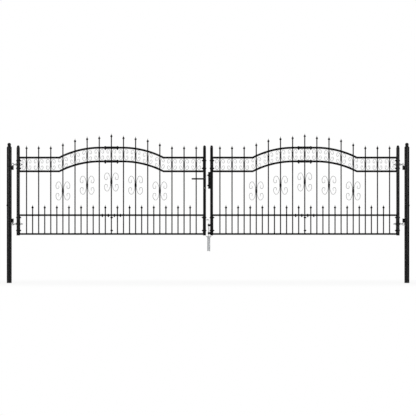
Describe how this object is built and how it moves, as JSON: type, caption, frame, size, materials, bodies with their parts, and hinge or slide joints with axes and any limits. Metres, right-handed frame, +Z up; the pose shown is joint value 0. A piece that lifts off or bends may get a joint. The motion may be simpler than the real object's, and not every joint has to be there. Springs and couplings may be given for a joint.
{
  "type": "wrought iron double driveway gate",
  "caption": "Double-leaf driveway gate of black steel tube with arched rails, spear-tipped pickets, C scrolls, round posts on pintle hinges, a lever lock and a drop bolt.",
  "frame": {"origin": "middle of the left post's foot, as the gate is seen in the picture", "axes": "+X along the shut gate to the right post, +Z up, the gate seen from -Y and opening towards +Y"},
  "size_m": [4.06, 0.1398, 1.509],
  "materials": {
    "black_coat": "satin powder coat",
    "zinc_plate": "bright zinc plate",
    "galvanised": "dull galvanised",
    "nickel": "nickel plate"
  },
  "bodies": {
    "posts": {"left_post": "black_coat", "right_post": "black_coat", "post_caps": "black_coat", "left_pintles": "black_coat", "right_pintles": "black_coat", "ground_socket": "galvanised"},
    "left_leaf": {"left_hinge_stile": "black_coat", "left_meeting_stile": "black_coat", "left_stile_caps": "black_coat", "left_hinge_panel": "black_coat", "left_meeting_panel": "black_coat", "left_centre_picket": "black_coat", "left_spear_tips": "black_coat", "left_scrolls": "black_coat", "left_scroll_collars": "black_coat", "left_eye_bolts": "zinc_plate", "lock_case": "zinc_plate", "handle_plates": "black_coat", "key_cylinder": "nickel"},
    "right_leaf": {"right_hinge_stile": "black_coat", "right_meeting_stile": "black_coat", "right_stile_caps": "black_coat", "right_hinge_panel": "black_coat", "right_meeting_panel": "black_coat", "right_centre_picket": "black_coat", "right_spear_tips": "black_coat", "right_scrolls": "black_coat", "right_scroll_collars": "black_coat", "right_eye_bolts": "zinc_plate", "lock_keep": "black_coat", "bolt_guides": "black_coat"},
    "lever": {"front_lever": "black_coat", "rear_lever": "black_coat", "lever_spindle": "zinc_plate"},
    "drop_bolt": {"drop_bolt": "zinc_plate"}
  },
  "joints": [
    {"name": "left_leaf_swing", "type": "hinge", "parent": "posts", "child": "left_leaf", "pos_m": [0.0375, 0, 1.182], "axis": [0, 0, 1], "range_deg": [0, 100]},
    {"name": "right_leaf_swing", "type": "hinge", "parent": "posts", "child": "right_leaf", "pos_m": [3.9725, 0, 1.182], "axis": [0, 0, -1], "range_deg": [0, 100]},
    {"name": "lever_turn", "type": "hinge", "parent": "left_leaf", "child": "lever", "pos_m": [1.9695, 0, 1.05], "axis": [0, -1, 0], "range_deg": [0, 40], "stiffness_Nm_per_rad": 0.8, "springref_deg": -40.11},
    {"name": "drop_bolt_slide", "type": "slide", "parent": "right_leaf", "child": "drop_bolt", "axis": [0, 0, 1], "range_m": [-0.035, 0]}
  ]
}
